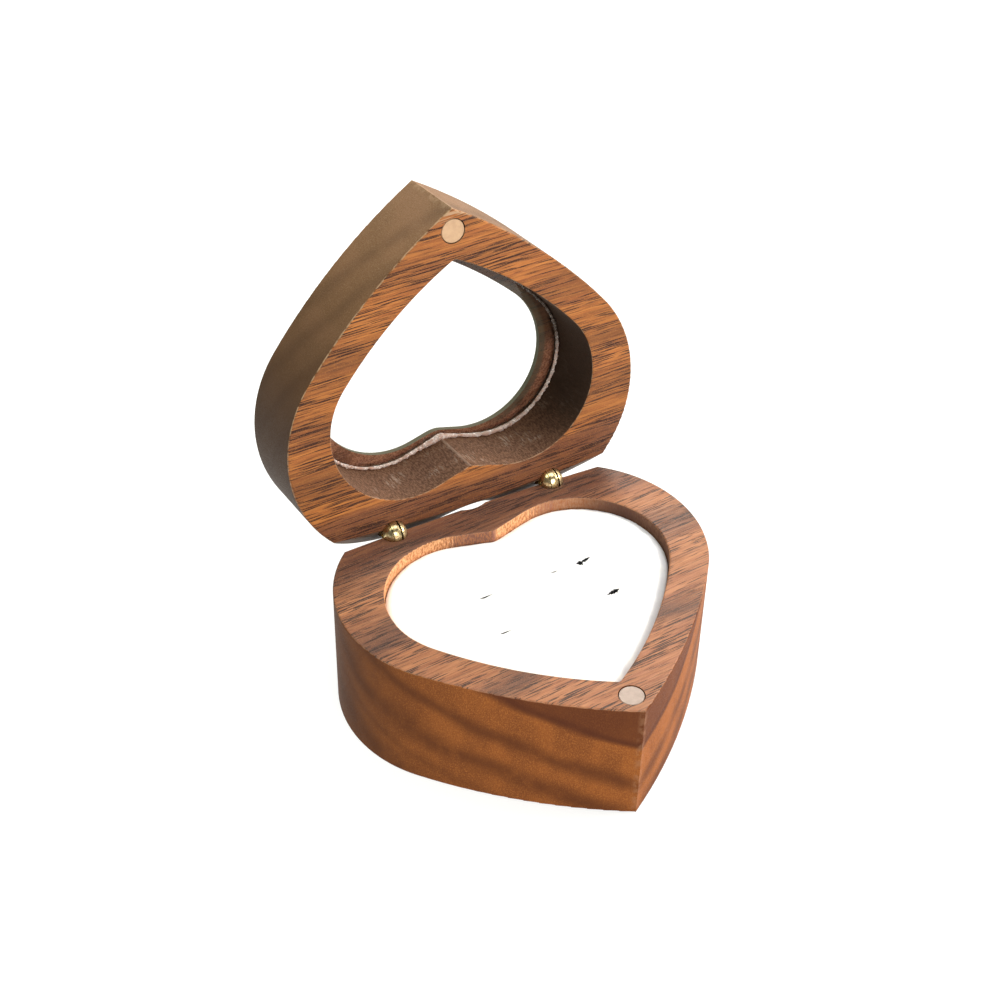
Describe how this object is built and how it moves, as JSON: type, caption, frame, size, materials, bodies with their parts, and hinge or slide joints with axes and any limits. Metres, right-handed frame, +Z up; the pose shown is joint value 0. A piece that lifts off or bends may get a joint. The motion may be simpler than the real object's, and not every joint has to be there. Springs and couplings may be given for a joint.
{
  "type": "ring box",
  "caption": "Heart-shaped wooden ring box with a hinged lid, clear heart window, magnet catch and a slotted white ring cushion.",
  "frame": {"origin": "on the table, under the heart's centre line, on the base's flat underside", "axes": "+Z up; the point of the heart faces -Y and the hinge line runs along X at the back"},
  "size_m": [0.077, 0.0919, 0.0922],
  "materials": {
    "walnut_base": "oiled, satin, open pores",
    "walnut_lid": "oiled, satin, open pores",
    "clear_acrylic": "clear, polished",
    "clear_glue": "clear, lumpy bead",
    "nickel_plate": "plated, lightly brushed",
    "antique_brass": "antiqued, dark in the slots",
    "grey_card": "matt",
    "white_foam": "open-cell foam, matt",
    "white_velvet": "short velvet pile"
  },
  "bodies": {
    "base": {"base_body": "walnut_base", "base_magnet": "nickel_plate", "cushion_card": "grey_card", "cushion_foam": "white_foam", "cushion_cover": "white_velvet", "left_hinge_base_barrel": "antique_brass", "left_hinge_pivot_pin": "antique_brass", "right_hinge_base_barrel": "antique_brass", "right_hinge_pivot_pin": "antique_brass"},
    "lid": {"lid_frame": "walnut_lid", "window_pane": "clear_acrylic", "window_glue_bead": "clear_glue", "lid_magnet": "nickel_plate", "left_hinge_lid_barrel": "antique_brass", "left_hinge_leaf": "antique_brass", "left_hinge_leaf_rivet": "antique_brass", "right_hinge_lid_barrel": "antique_brass", "right_hinge_leaf": "antique_brass", "right_hinge_leaf_rivet": "antique_brass"}
  },
  "joints": [
    {"name": "lid_hinge", "type": "hinge", "parent": "base", "child": "lid", "pos_m": [0, 0.0236, 0.0276], "axis": [1, 0, 0], "range_deg": [0, 98.6]}
  ]
}
